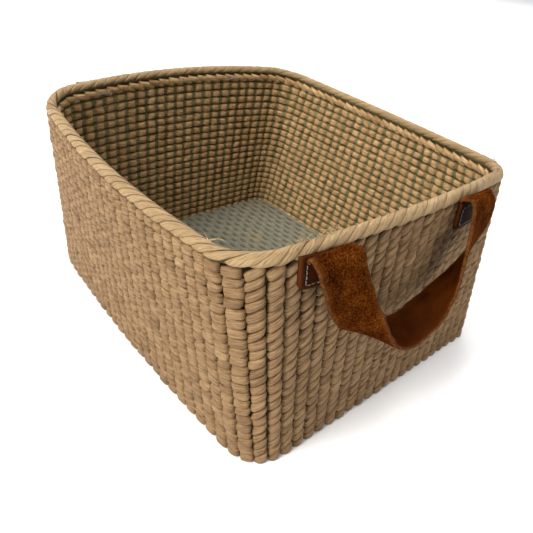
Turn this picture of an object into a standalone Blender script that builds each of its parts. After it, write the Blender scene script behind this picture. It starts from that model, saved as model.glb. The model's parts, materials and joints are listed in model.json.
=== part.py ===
"""Rectangular coiled grass basket with two leather strap handles.

Units are metres, +Z is up, the floor is z = 0 and the basket's middle is the
origin.  The long axis of the basket is X, and a strap handle hangs on each of
the two short walls, at +X ("east") and at -X ("west").

The wall is a stack of horizontal grass courses, each a closed ring of its own,
with a thicker wrapped bundle on top as the rim and a flat mat as the floor.
"""
import math

import bmesh
import bpy
from mathutils import Matrix, Vector

# --- Overall shape of the wall -------------------------------------------------
BASE_HALF_LENGTH = 0.1484   # X, to the outside of the lowest course
BASE_HALF_WIDTH = 0.1224    # Y, to the outside of the lowest course
BASE_CORNER_RADIUS = 0.022
RIM_HALF_LENGTH = 0.1290    # X, to the outside of the top course at its corners
RIM_HALF_WIDTH = 0.1285     # Y, to the outside of the top course at its corners
RIM_CORNER_RADIUS = 0.025
RIM_HEIGHT = 0.1465         # floor to the middle of the rim bundle, at the corners

# Hand-made bow of the walls, outwards at the middle of each side.
BASE_BOW_FRONT = 0.0065     # -Y long side, at the floor
RIM_BOW_FRONT = 0.0088      # -Y long side, at the rim
RIM_BOW_BACK = 0.0160       # +Y long side, at the rim
RIM_BOW_EAST = 0.0139       # +X short side, at the rim
RIM_BOW_WEST = 0.0124       # -X short side, at the rim

# The rim rises over the handles and dips along the long sides.
RIM_RISE_SHORT = 0.0063     # middle of a short side, above the corners
RIM_DIP_LONG = 0.0048       # middle of a long side, below the corners
RIM_TILT = 0.0065           # west end above, east end below the middle

# --- Courses, rim and floor mat ------------------------------------------------
COURSES = 22
COURSE_THICKNESS = 0.0086   # through the wall, stitches included
RIM_RADIUS = 0.0042
RIM_INSET = 0.0038          # outside of the wall to the middle of the rim bundle
MAT_THICKNESS = 0.0060
SEAM_GAP = 0.0003           # clearance between pieces that touch

# --- Leather straps ------------------------------------------------------------
STRAP_WIDTH = 0.031
STRAP_THICKNESS = 0.0024
HANDLE_SPREAD = 0.066       # handle middle to the middle of either leg
EAST_HANDLE_Y = -0.0180     # middle of each handle, both a little towards -Y
WEST_HANDLE_Y = -0.0110
LOOP_DROP = 0.0672          # fold line down to the bottom of the hanging loop
LOOP_CLEARANCE = 0.0012     # wall to the strap's back edge, loop hanging
LOOP_TWIST = math.radians(103.0)  # turn of the strap at the bottom of the loop
LOOP_WAIST = 0.0262         # the strap curls in to this width at the bottom
LOOP_LEAN = 0.0040          # the bottom of the loop hangs this far towards -Y
FOLD_RADIUS = 0.0033        # folded top of the strap, outside
EAST_FOLD_RISE = 0.0006     # fold line above the middle of the rim at its lower leg
WEST_FOLD_RISE = -0.0040
FOLD_START = 50.0           # degrees above level where the hanging leg leaves the fold
FOLD_END = 165.0            # degrees round the fold to the strap's wall side
FOLD_GAP = 0.0004           # folded top to the rim behind it and the patch below it
PATCH_HEIGHT = 0.021        # sewn end of the strap, below the fold
THREAD_WIDTH = 0.0010
STITCH_INSET = 0.0045       # edge of the patch to the box of stitching
KNOT_LENGTH = 0.014
KNOT_DROP = 0.0030          # underside of the rim down to the knot inside the wall

# --- Resolution ----------------------------------------------------------------
SIDE_STEPS = 4
CORNER_STEPS = 5
LOOP_STEPS = 44
FOLD_STEPS = 9


def clear_scene():
    """Start from an empty scene."""
    for item in list(bpy.data.objects):
        bpy.data.objects.remove(item, do_unlink=True)


def make_material(name, colour, roughness):
    """Plain Principled material."""
    material = bpy.data.materials.new(name)
    material.use_nodes = True
    shader = material.node_tree.nodes["Principled BSDF"]
    shader.inputs["Base Color"].default_value = (*colour, 1.0)
    shader.inputs["Roughness"].default_value = roughness
    shader.inputs["Metallic"].default_value = 0.0
    return material


def grass_material():
    return make_material("stitched_grass", (0.50, 0.37, 0.21), 0.75)


def rim_material():
    return make_material("wrapped_palm_leaf", (0.66, 0.55, 0.38), 0.6)


def mat_material():
    return make_material("floor_mat_grass", (0.33, 0.32, 0.24), 0.8)


def strap_material():
    return make_material("suede_strap", (0.24, 0.10, 0.035), 0.9)


def patch_material():
    return make_material("grain_leather", (0.09, 0.035, 0.02), 0.55)


def thread_material():
    return make_material("sewing_thread", (0.42, 0.42, 0.42), 0.7)


def blend(low, high, share):
    """Value a share of the way from low to high."""
    return low + (high - low) * share


def rim_height(x_share, y_share):
    """Height of the rim's middle where x and y are shares of the half sizes."""
    rise = RIM_RISE_SHORT * (1.0 - y_share ** 2)
    dip = RIM_DIP_LONG * (1.0 - x_share ** 2)
    return RIM_HEIGHT + rise - dip - RIM_TILT * x_share


def wall_outline(level, inset):
    """Points of the wall's outline seen from above, with outward normals.

    level is 0 at the floor and 1 at the rim, and inset is the distance inside
    the outer face.  Each entry is (x, y, normal_x, normal_y, x_share, y_share).
    """
    half_x = blend(BASE_HALF_LENGTH, RIM_HALF_LENGTH, level)
    half_y = blend(BASE_HALF_WIDTH, RIM_HALF_WIDTH, level)
    radius = blend(BASE_CORNER_RADIUS, RIM_CORNER_RADIUS, level)
    plain = []
    corners = ((1, -1, -90.0), (1, 1, 0.0), (-1, 1, 90.0), (-1, -1, 180.0))
    for index, (side_x, side_y, start) in enumerate(corners):
        centre = Vector((side_x * (half_x - radius), side_y * (half_y - radius)))
        for step in range(CORNER_STEPS + 1):
            angle = math.radians(start + 90.0 * step / CORNER_STEPS)
            plain.append(centre + radius * Vector((math.cos(angle), math.sin(angle))))
        next_x, next_y, next_start = corners[(index + 1) % 4]
        angle = math.radians(next_start)
        target = Vector((next_x * (half_x - radius), next_y * (half_y - radius)))
        target += radius * Vector((math.cos(angle), math.sin(angle)))
        origin = plain[-1].copy()
        for step in range(1, SIDE_STEPS):
            plain.append(origin.lerp(target, step / SIDE_STEPS))
    outer = [bowed_point(point, half_x, half_y, level) for point in plain]
    result = []
    for index, point in enumerate(outer):
        along = outer[(index + 1) % len(outer)] - outer[index - 1]
        normal = Vector((along.y, -along.x)).normalized()
        x_share = plain[index].x / half_x
        y_share = plain[index].y / half_y
        inner = point - normal * inset
        result.append((inner.x, inner.y, normal.x, normal.y, x_share, y_share))
    return result


def bowed_point(point, half_x, half_y, level):
    """Push a point of the plain outline outwards by the bow of its side."""
    x_share = point.x / half_x
    y_share = point.y / half_y
    rim_long = RIM_BOW_BACK if y_share > 0 else RIM_BOW_FRONT
    base_long = 0.0 if y_share > 0 else BASE_BOW_FRONT
    rim_short = RIM_BOW_EAST if x_share > 0 else RIM_BOW_WEST
    bow_y = blend(base_long, rim_long, level) * (1 - x_share ** 2) * y_share ** 2
    bow_x = blend(0.0, rim_short, level) * (1 - y_share ** 2) * x_share ** 2
    return Vector((point.x + math.copysign(bow_x, point.x), point.y + math.copysign(bow_y, point.y)))


def wall_top(x_share, y_share):
    """Top of the highest course under the rim bundle."""
    return rim_height(x_share, y_share) - RIM_RADIUS


def wall_face_x(side, y, z):
    """Outer face of a short wall: x at the given y and height, side is 1 or -1."""
    level = z / wall_top(side, y / RIM_HALF_WIDTH)
    half_x = blend(BASE_HALF_LENGTH, RIM_HALF_LENGTH, level)
    half_y = blend(BASE_HALF_WIDTH, RIM_HALF_WIDTH, level)
    return bowed_point(Vector((side * half_x, y)), half_x, half_y, level).x


def add_object(name, mesh_data, material):
    """Turn a bmesh into a named object with outward-facing faces."""
    bmesh.ops.recalc_face_normals(mesh_data, faces=mesh_data.faces)
    mesh = bpy.data.meshes.new(name)
    mesh_data.to_mesh(mesh)
    mesh_data.free()
    mesh.materials.append(material)
    item = bpy.data.objects.new(name, mesh)
    bpy.context.collection.objects.link(item)
    return item


def bridge_rings(mesh_data, rings, closed):
    """Skin a row of equal rings of vertices; an open row gets end faces."""
    count = len(rings)
    for index in range(count if closed else count - 1):
        ring = rings[index]
        following = rings[(index + 1) % count]
        size = len(ring)
        for corner in range(size):
            after = (corner + 1) % size
            mesh_data.faces.new((ring[corner], ring[after], following[after], following[corner]))
    if not closed:
        mesh_data.faces.new(rings[0])
        mesh_data.faces.new(rings[-1])


def add_course(index, material):
    """One horizontal course: a closed ring with flat top and bottom."""
    level = (index + 0.5) / COURSES
    mesh_data = bmesh.new()
    rings = []
    half = COURSE_THICKNESS / 2
    for x, y, normal_x, normal_y, x_share, y_share in wall_outline(level, half):
        pitch = wall_top(x_share, y_share) / COURSES
        middle = (index + 0.5) * pitch
        tall = pitch / 2 - SEAM_GAP / 2
        section = ((half, -0.5), (half, 0.5), (0.6 * half, 1.0))
        section += ((-0.6 * half, 1.0), (-half, 0.5), (-half, -0.5))
        section += ((-0.6 * half, -1.0), (0.6 * half, -1.0))
        ring = []
        for outwards, upwards in section:
            place = (x + normal_x * outwards, y + normal_y * outwards, middle + tall * upwards)
            ring.append(mesh_data.verts.new(place))
        rings.append(ring)
    bridge_rings(mesh_data, rings, closed=True)
    return add_object(f"wall_course_{index + 1:02d}", mesh_data, material)


def add_rim(material):
    """Round wrapped bundle on top of the highest course."""
    mesh_data = bmesh.new()
    rings = []
    radius = RIM_RADIUS - SEAM_GAP / 2
    for x, y, normal_x, normal_y, x_share, y_share in wall_outline(1.0, RIM_INSET):
        height = rim_height(x_share, y_share)
        ring = []
        for step in range(8):
            angle = math.radians(45.0 * step + 22.5)
            reach = radius * math.cos(angle)
            place = (x + normal_x * reach, y + normal_y * reach, height + radius * math.sin(angle))
            ring.append(mesh_data.verts.new(place))
        rings.append(ring)
    bridge_rings(mesh_data, rings, closed=True)
    return add_object("rim_bundle", mesh_data, material)


def add_floor_mat(material):
    """Flat mat that closes the basket inside the lowest course."""
    mesh_data = bmesh.new()
    outline = wall_outline(0.5 / COURSES, COURSE_THICKNESS + SEAM_GAP)
    rings = []
    for height in (0.0, MAT_THICKNESS):
        rings.append([mesh_data.verts.new((entry[0], entry[1], height)) for entry in outline])
    bridge_rings(mesh_data, rings, closed=False)
    return add_object("floor_mat", mesh_data, material)


def leg_middles(fold_y):
    """Y of the middle of each of a handle's two legs, front one first."""
    return (fold_y - HANDLE_SPREAD, fold_y + HANDLE_SPREAD)


def handle_frame(side):
    """Middle of a handle's fold line, the axis that the loop swings about."""
    middle_y = EAST_HANDLE_Y if side > 0 else WEST_HANDLE_Y
    rise = EAST_FOLD_RISE if side > 0 else WEST_FOLD_RISE
    legs = leg_middles(middle_y)
    axis_z = min(rim_height(side, y / RIM_HALF_WIDTH) for y in legs) + rise
    reaches = []
    for leg in legs:
        for edge in (-1, 0, 1):
            rim_x, _ = rim_middle(side, leg + edge * STRAP_WIDTH / 2)
            reaches.append(abs(rim_x) + RIM_RADIUS)
    axis_x = max(reaches) + FOLD_GAP + FOLD_RADIUS
    return Vector((side * axis_x, middle_y, axis_z))


def rim_middle(side, y):
    """X and height of the rim's middle over a short wall, at the given y."""
    face = bowed_point(Vector((side * RIM_HALF_LENGTH, y)), RIM_HALF_LENGTH, RIM_HALF_WIDTH, 1.0)
    return face.x - side * RIM_INSET, rim_height(side, y / RIM_HALF_WIDTH)


def patch_top(fold):
    """Height of a patch's top edge, just under the fold."""
    return fold.z - FOLD_RADIUS - FOLD_GAP


def patch_lift(side, middle_y, fold):
    """Height of the wall's bulge above the flat patch's own edges, and a gap."""
    top = patch_top(fold)
    ends = [abs(wall_face_x(side, middle_y + edge * STRAP_WIDTH / 2, top)) for edge in (-1, 1)]
    return abs(wall_face_x(side, middle_y, top)) - sum(ends) / 2 + 2 * SEAM_GAP


def point_off_wall(side, y, z, distance):
    """Point the given distance outside a short wall."""
    return (wall_face_x(side, y, z) + side * distance, y, z)


def add_end_patch(name, side, middle_y, fold, material):
    """Sewn end of a strap: a flat patch that lies on the wall."""
    top = patch_top(fold)
    lift = patch_lift(side, middle_y, fold)
    mesh_data = bmesh.new()
    rings = []
    for z in (top - PATCH_HEIGHT, top):
        ring = []
        for edge, distance in ((-1, 0.0), (1, 0.0), (1, STRAP_THICKNESS), (-1, STRAP_THICKNESS)):
            y = middle_y + edge * STRAP_WIDTH / 2
            ring.append(mesh_data.verts.new(point_off_wall(side, y, z, lift + distance)))
        rings.append(ring)
    bridge_rings(mesh_data, rings, closed=False)
    return add_object(name, mesh_data, material)


def add_box_stitch(name, side, middle_y, fold, material):
    """Rectangle of sewing thread on the face of an end patch."""
    near = patch_lift(side, middle_y, fold) + STRAP_THICKNESS + SEAM_GAP
    top = patch_top(fold) - STITCH_INSET
    bottom = patch_top(fold) - PATCH_HEIGHT + STITCH_INSET
    half = STRAP_WIDTH / 2 - STITCH_INSET
    mesh_data = bmesh.new()
    rings = []
    for corner_y, corner_z in ((-1, bottom), (1, bottom), (1, top), (-1, top)):
        ring = []
        inwards_z = 1 if corner_z == bottom else -1
        for depth, inwards in ((0, 0), (1, 0), (1, 1), (0, 1)):
            y = middle_y + corner_y * (half - inwards * THREAD_WIDTH)
            z = corner_z + inwards_z * inwards * THREAD_WIDTH
            place = point_off_wall(side, y, z, near + depth * THREAD_WIDTH * 0.6)
            ring.append(mesh_data.verts.new(place))
        rings.append(ring)
    bridge_rings(mesh_data, rings, closed=True)
    return add_object(name, mesh_data, material)


def add_inside_knot(name, side, middle_y, material):
    """Short tied-off length of the same thread on the inside of the wall."""
    z = rim_height(side, middle_y / RIM_HALF_WIDTH) - RIM_RADIUS - KNOT_DROP
    half_length = KNOT_LENGTH / 2
    ends = [abs(wall_face_x(side, middle_y + end * half_length, z)) for end in (-1, 0, 1)]
    inner = min(ends) - COURSE_THICKNESS - 3 * SEAM_GAP - THREAD_WIDTH / 2
    centre = Vector((side * inner, middle_y, z))
    mesh_data = bmesh.new()
    bmesh.ops.create_cube(mesh_data, size=1.0)
    scale = Matrix.Diagonal((THREAD_WIDTH, KNOT_LENGTH, THREAD_WIDTH, 1.0))
    bmesh.ops.transform(mesh_data, matrix=Matrix.Translation(centre) @ scale, verts=mesh_data.verts)
    return add_object(name, mesh_data, material)


def loop_reach(side, fold):
    """How far the loop's bottom stands out from its legs, so its edge clears the wall."""
    bottom = fold.z - LOOP_DROP
    ends = (fold.y - HANDLE_SPREAD, fold.y, fold.y + HANDLE_SPREAD)
    wall = max(abs(wall_face_x(side, y, bottom)) for y in ends)
    back_edge = LOOP_WAIST / 2 * math.sin(LOOP_TWIST) + STRAP_THICKNESS / 2
    return wall + LOOP_CLEARANCE + back_edge - abs(fold.x) - fold_spoke(FOLD_START)[0]


def fold_spoke(degrees):
    """Outward and upward reach from the fold line to the middle of the folded strap."""
    angle = math.radians(degrees)
    radius = FOLD_RADIUS - STRAP_THICKNESS / 2
    return radius * math.cos(angle), radius * math.sin(angle)


def loop_section(share, side, fold, reach):
    """Middle of the hanging strap, its turn about its own length and its width.

    share runs from -1 at one leg's top to 1 at the other's.  The strap leaves
    both folds flat, bulges outwards and turns face down at the bottom.
    """
    angle = share * math.pi / 2
    sink = max(math.cos(angle), 0.0)
    across = math.copysign(abs(math.sin(angle)) ** 0.95, angle)
    out, up = fold_spoke(FOLD_START)
    middle = Vector((
        side * (abs(fold.x) + out + reach * sink ** 0.6),
        fold.y + HANDLE_SPREAD * across - LOOP_LEAN * sink ** 2,
        fold.z + up * (1.0 - sink) - LOOP_DROP * sink ** 1.5,
    ))
    return middle, LOOP_TWIST * sink ** 3, blend(LOOP_WAIST, STRAP_WIDTH, math.sin(angle) ** 6)


def strap_ring(middle, across, face, width):
    """Four corners of the strap's cross section."""
    ring = []
    for wide, thick in ((-1, -1), (1, -1), (1, 1), (-1, 1)):
        ring.append(middle + across * (wide * width / 2) + face * (thick * STRAP_THICKNESS / 2))
    return ring


def fold_rings(side, fold, end, first, last):
    """Sections round the folded top of one leg, from one angle to another.

    The angle is 0 at the front of the fold and grows over the top towards the
    wall.  end is -1 for the front leg.
    """
    rings = []
    for step in range(FOLD_STEPS):
        out, up = fold_spoke(blend(first, last, step / (FOLD_STEPS - 1)))
        spoke = Vector((side * out, 0.0, up))
        middle = Vector((fold.x, fold.y + end * HANDLE_SPREAD, fold.z)) + spoke
        rings.append(strap_ring(middle, Vector((0.0, end * side, 0.0)), spoke.normalized(), STRAP_WIDTH))
    return rings


def add_hanging_loop(name, side, fold, material):
    """The free part of a strap: two folded tops and the twisted U between them."""
    reach = loop_reach(side, fold)
    shares = [2.0 * step / LOOP_STEPS - 1.0 for step in range(LOOP_STEPS + 1)]
    places = [loop_section(share, side, fold, reach) for share in shares]
    outward = Vector((side, 0.0, 0.0))
    sections = fold_rings(side, fold, -1, FOLD_END, FOLD_START)
    for index in range(1, LOOP_STEPS):
        middle, twist, width = places[index]
        along = (places[index + 1][0] - places[index - 1][0]).normalized()
        below = along.cross(outward).normalized() * side
        flat_face = below.cross(along).normalized()
        flat_face *= math.copysign(1.0, flat_face.dot(outward))
        face = flat_face * math.cos(twist) + below * math.sin(twist)
        sections.append(strap_ring(middle, along.cross(face).normalized(), face, width))
    sections.extend(fold_rings(side, fold, 1, FOLD_START, FOLD_END))
    mesh_data = bmesh.new()
    rings = [[mesh_data.verts.new(place - fold) for place in section] for section in sections]
    bridge_rings(mesh_data, rings, closed=False)
    loop = add_object(name, mesh_data, material)
    loop.location = fold
    return loop


def add_handle(word, side, strap, leather, thread):
    """One handle: two sewn patches, their stitching and the loop between."""
    fold = handle_frame(side)
    for middle_y, suffix in zip(leg_middles(fold.y), ("front", "back")):
        add_end_patch(f"{word}_patch_{suffix}", side, middle_y, fold, leather)
        add_box_stitch(f"{word}_box_stitch_{suffix}", side, middle_y, fold, thread)
        add_inside_knot(f"{word}_inside_knot_{suffix}", side, middle_y, thread)
    add_hanging_loop(f"{word}_strap_loop", side, fold, strap)
    print(f"{word} fold line", [round(value, 5) for value in fold])


def build():
    """Make every piece of the basket."""
    clear_scene()
    grass = grass_material()
    for index in range(COURSES):
        add_course(index, grass)
    add_rim(rim_material())
    add_floor_mat(mat_material())
    strap = strap_material()
    leather = patch_material()
    thread = thread_material()
    add_handle("east", 1, strap, leather, thread)
    add_handle("west", -1, strap, leather, thread)


build()
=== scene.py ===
"""Looks of a rectangular coiled grass basket with two leather strap handles.

Everything is in metres in the frame's own axes: X is the basket's long axis,
Z is up and the floor is z = 0.  The wall is rebuilt stitch by stitch on the
same outline as the frame's solids.
"""
import json
import math

import bmesh
import bpy
import numpy as np
from mathutils import Matrix, Vector


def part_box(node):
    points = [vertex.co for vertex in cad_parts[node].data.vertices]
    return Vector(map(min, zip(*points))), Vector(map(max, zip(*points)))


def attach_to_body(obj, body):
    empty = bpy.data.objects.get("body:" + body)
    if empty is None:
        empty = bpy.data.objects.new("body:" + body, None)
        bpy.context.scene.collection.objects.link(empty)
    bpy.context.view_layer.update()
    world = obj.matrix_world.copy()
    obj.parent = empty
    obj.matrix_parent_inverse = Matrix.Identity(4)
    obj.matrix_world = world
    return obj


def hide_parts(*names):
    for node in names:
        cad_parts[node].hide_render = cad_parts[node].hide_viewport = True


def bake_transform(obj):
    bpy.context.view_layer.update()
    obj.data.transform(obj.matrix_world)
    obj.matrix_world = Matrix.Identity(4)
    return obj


# --- Wall outline, as the frame's solids have it ---
BASE_HALF_LENGTH = 0.1484
BASE_HALF_WIDTH = 0.1224
BASE_CORNER_RADIUS = 0.022
RIM_HALF_LENGTH = 0.1290
RIM_HALF_WIDTH = 0.1285
RIM_CORNER_RADIUS = 0.025
RIM_HEIGHT = 0.1465
BASE_BOW_FRONT = 0.0065
RIM_BOW_FRONT = 0.0088
RIM_BOW_BACK = 0.0160
RIM_BOW_EAST = 0.0139
RIM_BOW_WEST = 0.0124
RIM_RISE_SHORT = 0.0063
RIM_DIP_LONG = 0.0048
RIM_TILT = 0.0065
COURSES = 22
COURSE_THICKNESS = 0.0086
RIM_RADIUS = 0.0042
RIM_INSET = 0.0038

# --- Stitches ---
COLUMNS = 101               # stitches round one course
STITCH_LIFT = 0.0033        # outer stitch above the grass behind it
BEAD_LIFT = 0.0018          # inner bead above the grass behind it
OUTER_SINK = 0.0030         # wall face to the grass bundle, outside
INNER_SINK = 0.0016         # wall face to the grass bundle, inside
SHORT_SIDE_SLANT = 0.0064   # rise of a stitch over its own width
LONG_SIDE_SLANT = 0.0010

# --- Rim wrapping ---
WRAP_START = -46.0          # degrees above level, going over the rim from outside
WRAP_END = 226.0
WRAP_SLIMMER = 0.00115      # the rim's radius to the edges of its leaf strips

# --- Smear on the east wall ---
STAIN_Y = 0.02625
STAIN_Z = 0.112
STAIN_LEAN = 0.25
STAIN_WIDTH = 0.0085
STAIN_HEIGHT = 0.024

# --- Floor mat ---
MAT_ROW = 0.0074            # width of one row of grass
MAT_STITCH = 0.0150         # from one stitch to the next along a row
MAT_TUCK = 0.0016           # reach of the mat into the wall
MAT_TOP = 0.0030            # upper face, between the rows
MAT_BULGE = 0.0016          # rise of a row above that
MAT_SLOT = 0.0013           # depth a stitch pulls a row down
MAT_UNDERSIDE = 0.0004
MAT_POINTS_LONG = 250
MAT_POINTS_WIDE = 216

# --- Leather straps ---
STRAP_WIDTH = 0.031
STRAP_THICKNESS = 0.0024
HANDLE_SPREAD = 0.066
FOLD_RADIUS = 0.0033
PATCH_HEIGHT = 0.0195
PATCH_WIDTH = 0.0260
LOOP_DROP = 0.0672
LOOP_TWIST = math.radians(103.0)
LOOP_WAIST = 0.0252
LOOP_REACH = 0.0138
LOOP_LEAN = 0.0040
EAST_SWELL = 0.5            # power of the loop's outward bulge; less is fuller near the fold
WEST_SWELL = 0.7            # the west rim stands higher over its fold, so less room is left
FOLD_START = 50.0           # degrees above level where the hanging leg leaves the fold
FOLD_END = 184.0            # degrees where the fold has come down to the patch
FOLD_OVERLAP = 12.0         # degrees by which the fold's strip starts behind the leg
LEG_OVERLAP = 35.0          # degrees by which the leg runs on over the fold
FOLD_SLIMMER = 0.0001       # the fold's strip lies just inside the leg where they overlap
LOOP_CUP = 0.0012           # curl of the narrowed strap across its width
PATCH_BACK = 0.0003         # wall face to the back of a patch
PATCH_FACE = 0.00285        # wall face to the front of a patch
PATCH_TUCK = 0.0012         # patch top above the underside of the fold
PATCH_CORNER = 0.0045

# --- Thread ---
THREAD_SINK = 0.0003        # depth to which the thread pulls into the leather
BOX_STITCH_SPACING = 0.0030
BOX_STITCH_LENGTH = 0.0026
BOX_THREAD = 0.0008
BOX_HALF_SHARE = 0.70       # share of the patch's half width
BOX_TOP_SHARE = 0.20        # shares down the patch
BOX_BOTTOM_SHARE = 0.85
KNOT_SPACING = 0.0036
KNOT_LENGTH = 0.0033
KNOT_THREAD = 0.0009
KNOT_REACH = 0.0062         # half the run of thread ends inside the wall
KNOT_RISE = 0.0006          # the run's far end stands this much higher
KNOT_TAIL = 0.0058          # drop of the loose tail
KNOT_TAIL_Y = 0.0035

# --- Studio ---
STUDIO_FLOOR_HALF = 6.0
STUDIO_FLOOR_DROP = 0.0002
SURROUNDINGS = 0.58         # brightness of the white surroundings

# --- Camera ---
CAMERA_AZIMUTH = math.radians(47.12)
CAMERA_ELEVATION = math.radians(33.57)
CAMERA_ROLL = math.radians(6.32)
CAMERA_DISTANCE = 0.4562
CAMERA_TARGET = Vector((0.0, 0.0078, 0.0212))
CAMERA_LENS = 33.95
SENSOR_WIDTH = 36.0

random = np.random.default_rng(7)


def blend(low, high, share):
    """Value a share of the way from low to high."""
    return low + (high - low) * share


# --- The wall as a surface ---
def side_lengths():
    """Straight and curved lengths of the outline, half way up the wall."""
    radius = blend(BASE_CORNER_RADIUS, RIM_CORNER_RADIUS, 0.5)
    long_side = 2 * (blend(BASE_HALF_LENGTH, RIM_HALF_LENGTH, 0.5) - radius)
    short_side = 2 * (blend(BASE_HALF_WIDTH, RIM_HALF_WIDTH, 0.5) - radius)
    return long_side, short_side, radius * math.pi / 2


LONG_SIDE, SHORT_SIDE, CORNER = side_lengths()
AROUND = 2 * (LONG_SIDE + SHORT_SIDE) + 4 * CORNER
PITCH = AROUND / COLUMNS    # from one stitch to the next round a course


def plain_outline(travel, level):
    """Rounded rectangle at a level: x and y for each distance travelled round it.

    Travel starts in the middle of the east side and goes towards +Y.
    """
    travel = np.mod(travel, AROUND)
    half_x = blend(BASE_HALF_LENGTH, RIM_HALF_LENGTH, level)
    half_y = blend(BASE_HALF_WIDTH, RIM_HALF_WIDTH, level)
    radius = blend(BASE_CORNER_RADIUS, RIM_CORNER_RADIUS, level)
    x = np.zeros_like(travel * level)
    y = np.zeros_like(x)
    travel = travel + np.zeros_like(x)
    start = -SHORT_SIDE / 2
    east = (1, 0, SHORT_SIDE)
    north = (0, 1, LONG_SIDE)
    west = (-1, 0, SHORT_SIDE)
    south = (0, -1, LONG_SIDE)
    for index, (side_x, side_y, length) in enumerate((east, north, west, south, east)):
        share = (travel - start) / length
        here = (share >= 0) & (share < 1)
        run = 2 * share - 1
        straight_x = side_x * half_x - side_y * run * (half_x - radius)
        straight_y = side_y * half_y + side_x * run * (half_y - radius)
        x = np.where(here, straight_x, x)
        y = np.where(here, straight_y, y)
        turn = (travel - start - length) / CORNER
        here = (turn >= 0) & (turn < 1)
        angle = math.pi / 2 * (index + turn)
        corner_x = (half_x - radius) * (side_x - side_y)
        corner_y = (half_y - radius) * (side_x + side_y)
        x = np.where(here, corner_x + radius * np.cos(angle), x)
        y = np.where(here, corner_y + radius * np.sin(angle), y)
        start += length + CORNER
    return x, y, half_x, half_y


def outer_face(travel, level):
    """Outer face of the wall: x, y and the shares of the half sizes."""
    x, y, half_x, half_y = plain_outline(travel, level)
    x_share = x / half_x
    y_share = y / half_y
    rim_long = np.where(y_share > 0, RIM_BOW_BACK, RIM_BOW_FRONT)
    base_long = np.where(y_share > 0, 0.0, BASE_BOW_FRONT)
    rim_short = np.where(x_share > 0, RIM_BOW_EAST, RIM_BOW_WEST)
    bow_y = blend(base_long, rim_long, level) * (1 - x_share ** 2) * y_share ** 2
    bow_x = blend(0.0, rim_short, level) * (1 - y_share ** 2) * x_share ** 2
    return x + np.sign(x) * bow_x, y + np.sign(y) * bow_y, x_share, y_share


def rim_height(x_share, y_share):
    """Height of the rim's middle."""
    rise = RIM_RISE_SHORT * (1.0 - y_share ** 2)
    dip = RIM_DIP_LONG * (1.0 - x_share ** 2)
    return RIM_HEIGHT + rise - dip - RIM_TILT * x_share


def wall_point(travel, level, inset):
    """Points of the wall: level 0 is the floor, 1 the underside of the rim."""
    travel = np.asarray(travel, float)
    level = np.asarray(level, float) + 0.0 * travel
    x, y, x_share, y_share = outer_face(travel, level)
    step = 0.0006
    ahead_x, ahead_y, _, _ = outer_face(travel + step, level)
    behind_x, behind_y, _, _ = outer_face(travel - step, level)
    along = np.stack([ahead_x - behind_x, ahead_y - behind_y], -1)
    along /= np.linalg.norm(along, axis=-1, keepdims=True)
    top = rim_height(x_share, y_share) - RIM_RADIUS
    x = x - along[..., 1] * inset
    y = y + along[..., 0] * inset
    return np.stack([x, y, top * level], -1)


def on_long_side(travel):
    """1 on the two long sides, 0 on the short ones, changing over in the corners."""
    quarter = np.mod(travel, AROUND / 2)
    start = SHORT_SIDE / 2
    end = start + 2 * CORNER + LONG_SIDE
    entering = (quarter - start) / CORNER
    leaving = (end - quarter) / CORNER
    return np.clip((np.minimum(entering, leaving) - 0.35) / 0.2, 0, 1)


# --- Meshes ---
def make_mesh(name, points, faces, material, smooth=True, values=None, vectors=None):
    """Object from points and faces, with optional named per-point numbers and vectors."""
    mesh = bpy.data.meshes.new(name)
    corners = faces if isinstance(faces, list) else faces.tolist()
    mesh.from_pydata(points.reshape(-1, 3).tolist(), [], corners)
    mesh.materials.append(material)
    for key, data in (values or {}).items():
        layer = mesh.attributes.new(key, "FLOAT", "POINT")
        layer.data.foreach_set("value", np.ascontiguousarray(data, np.float32).ravel())
    for key, data in (vectors or {}).items():
        layer = mesh.attributes.new(key, "FLOAT_VECTOR", "POINT")
        layer.data.foreach_set("vector", np.ascontiguousarray(data, np.float32).ravel())
    mesh.polygons.foreach_set("use_smooth", [smooth] * len(mesh.polygons))
    mesh.update()
    item = bpy.data.objects.new(name, mesh)
    bpy.context.collection.objects.link(item)
    return item


def grid_faces(rows, columns, close_rows=False, close_columns=False):
    """Quads of a grid of points, row by row; either way round can close up."""
    row_count = rows if close_rows else rows - 1
    column_count = columns if close_columns else columns - 1
    row, column = np.meshgrid(np.arange(row_count), np.arange(column_count), indexing="ij")
    next_row = (row + 1) % rows
    next_column = (column + 1) % columns
    quads = [row * columns + column, row * columns + next_column]
    quads += [next_row * columns + next_column, next_row * columns + column]
    return np.stack(quads, -1).reshape(-1, 4)


def repeated_faces(one, points_each, count):
    """The same faces for each of a row of equal patches."""
    shift = (np.arange(count) * points_each)[:, None, None]
    return (one[None] + shift).reshape(-1, 4)


def slab_faces(rows, columns, winding):
    """Faces of a closed slab: a front grid of points, a back one, and the edge between."""
    size = rows * columns
    front = grid_faces(rows, columns)[:, ::winding]
    back = grid_faces(rows, columns)[:, ::-winding] + size
    edge = np.concatenate([
        np.arange(columns),
        np.arange(1, rows) * columns + columns - 1,
        (rows - 1) * columns + np.arange(columns - 2, -1, -1),
        np.arange(rows - 2, 0, -1) * columns,
    ])
    following = np.roll(edge, -1)
    walls = np.stack([edge, edge + size, following + size, following], -1)
    return np.concatenate([front, back, walls])


def fix_outward(item):
    """Turn every face outwards."""
    data = bmesh.new()
    data.from_mesh(item.data)
    bmesh.ops.recalc_face_normals(data, faces=data.faces)
    data.to_mesh(item.data)
    data.free()


def each(values):
    """One value for each stitch, shaped to spread over that stitch's grid of points."""
    return np.asarray(values)[:, None, None]


def unit(vectors):
    """The same directions, one long."""
    return vectors / np.linalg.norm(vectors, axis=-1, keepdims=True)


# --- Materials ---
WHITE = (1.0, 1.0, 1.0)
BLACK = (0.0, 0.0, 0.0)


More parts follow.
